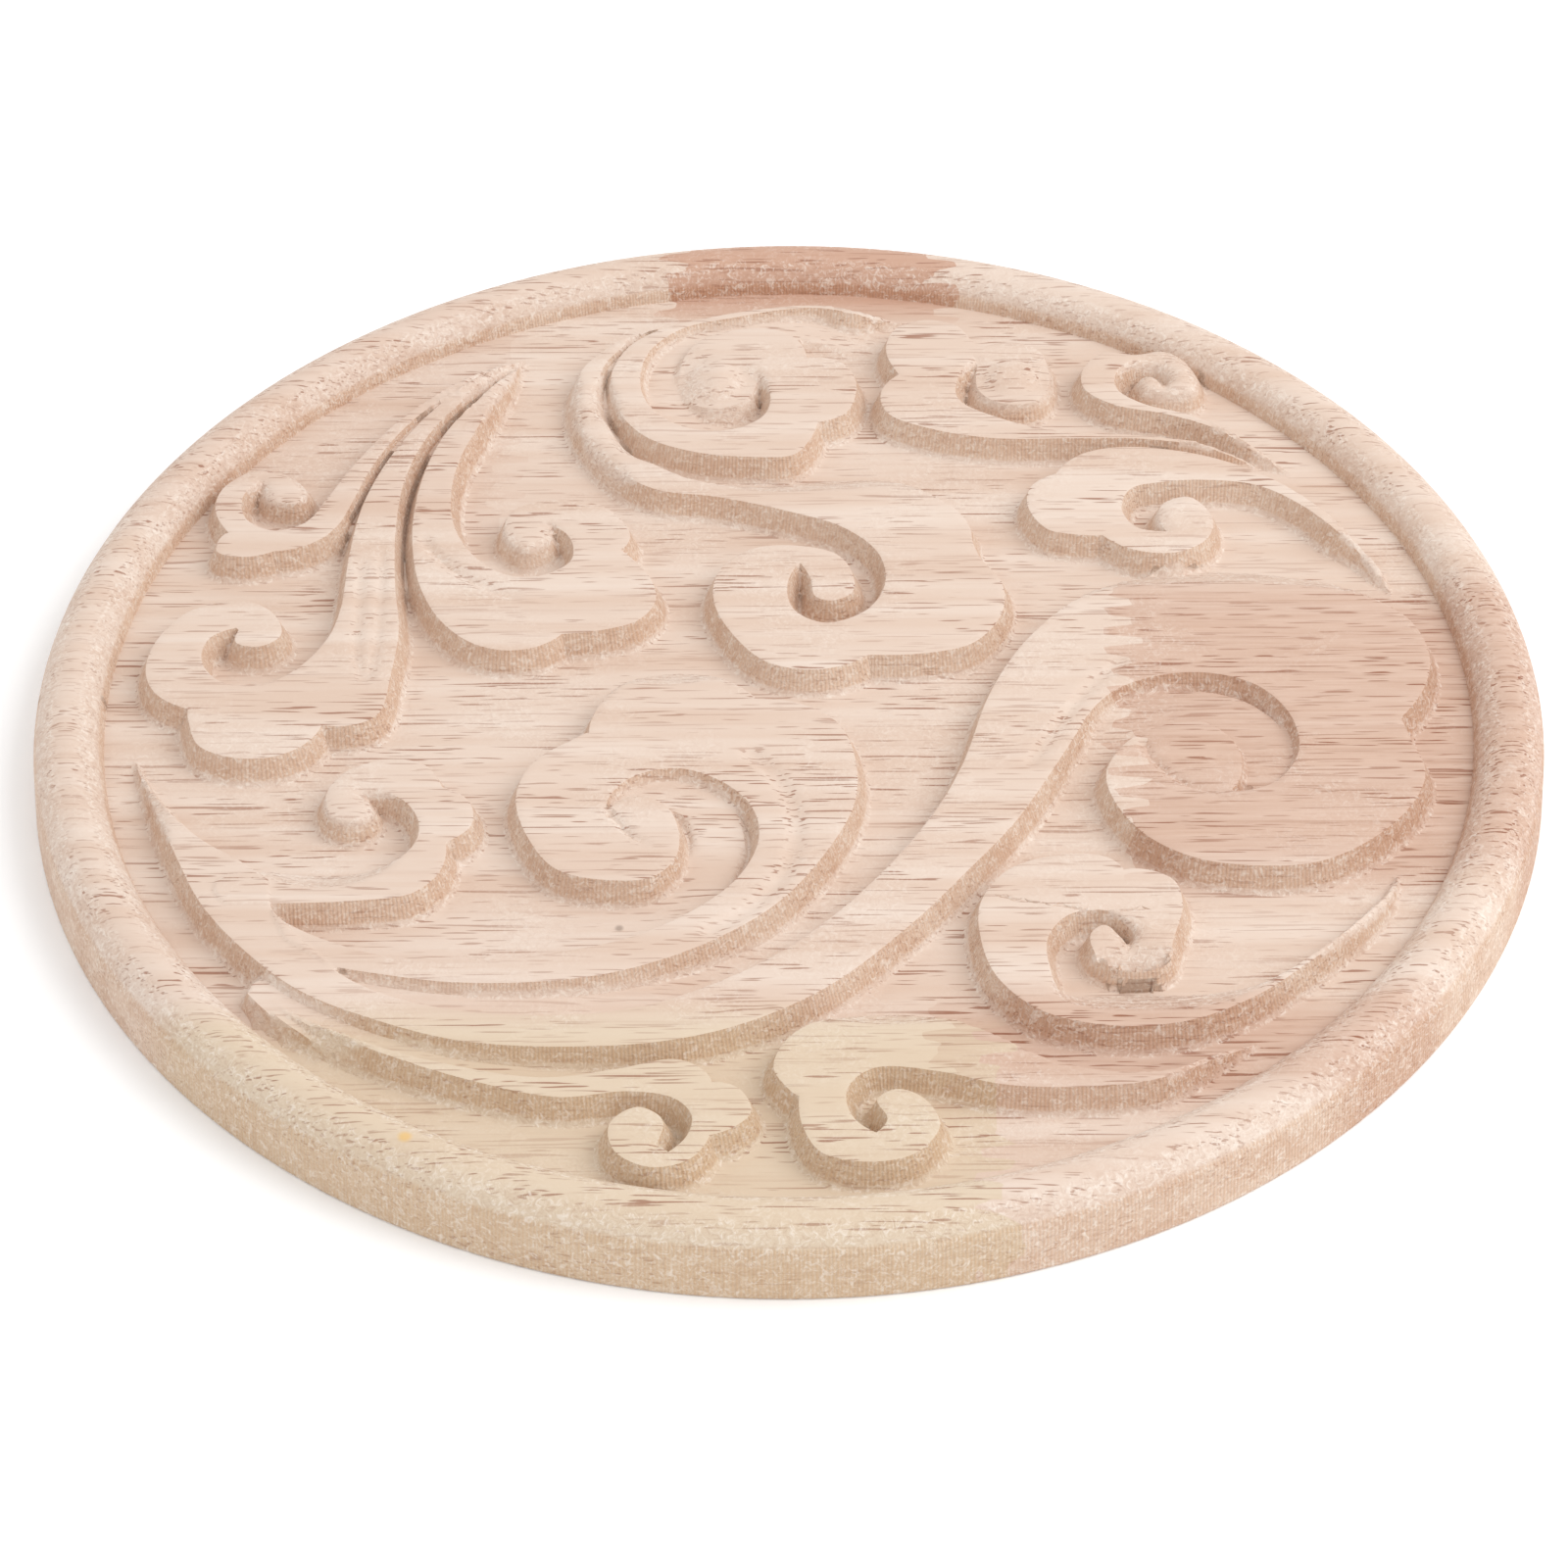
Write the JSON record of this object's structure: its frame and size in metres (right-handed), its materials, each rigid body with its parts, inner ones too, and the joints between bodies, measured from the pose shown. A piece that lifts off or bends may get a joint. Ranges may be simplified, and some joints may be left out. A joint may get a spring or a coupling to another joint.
{
  "type": "carved rosette",
  "caption": "Round wooden rosette with a flat back, a raised bead rim and low-relief cloud scrolls, for fixing face out on furniture, a beam or a wall.",
  "frame": {"origin": "centre of the flat back, on the surface that the disc lies on", "axes": "+Z out of the carved face, +Y towards the top of the design, +X to the right seen from the carved side"},
  "size_m": [0.2, 0.2, 0.0105],
  "materials": {
    "pale_hardwood": "sanded bare wood, unvarnished"
  },
  "bodies": {
    "root": {"carved_rosette": "pale_hardwood"}
  },
  "joints": []
}
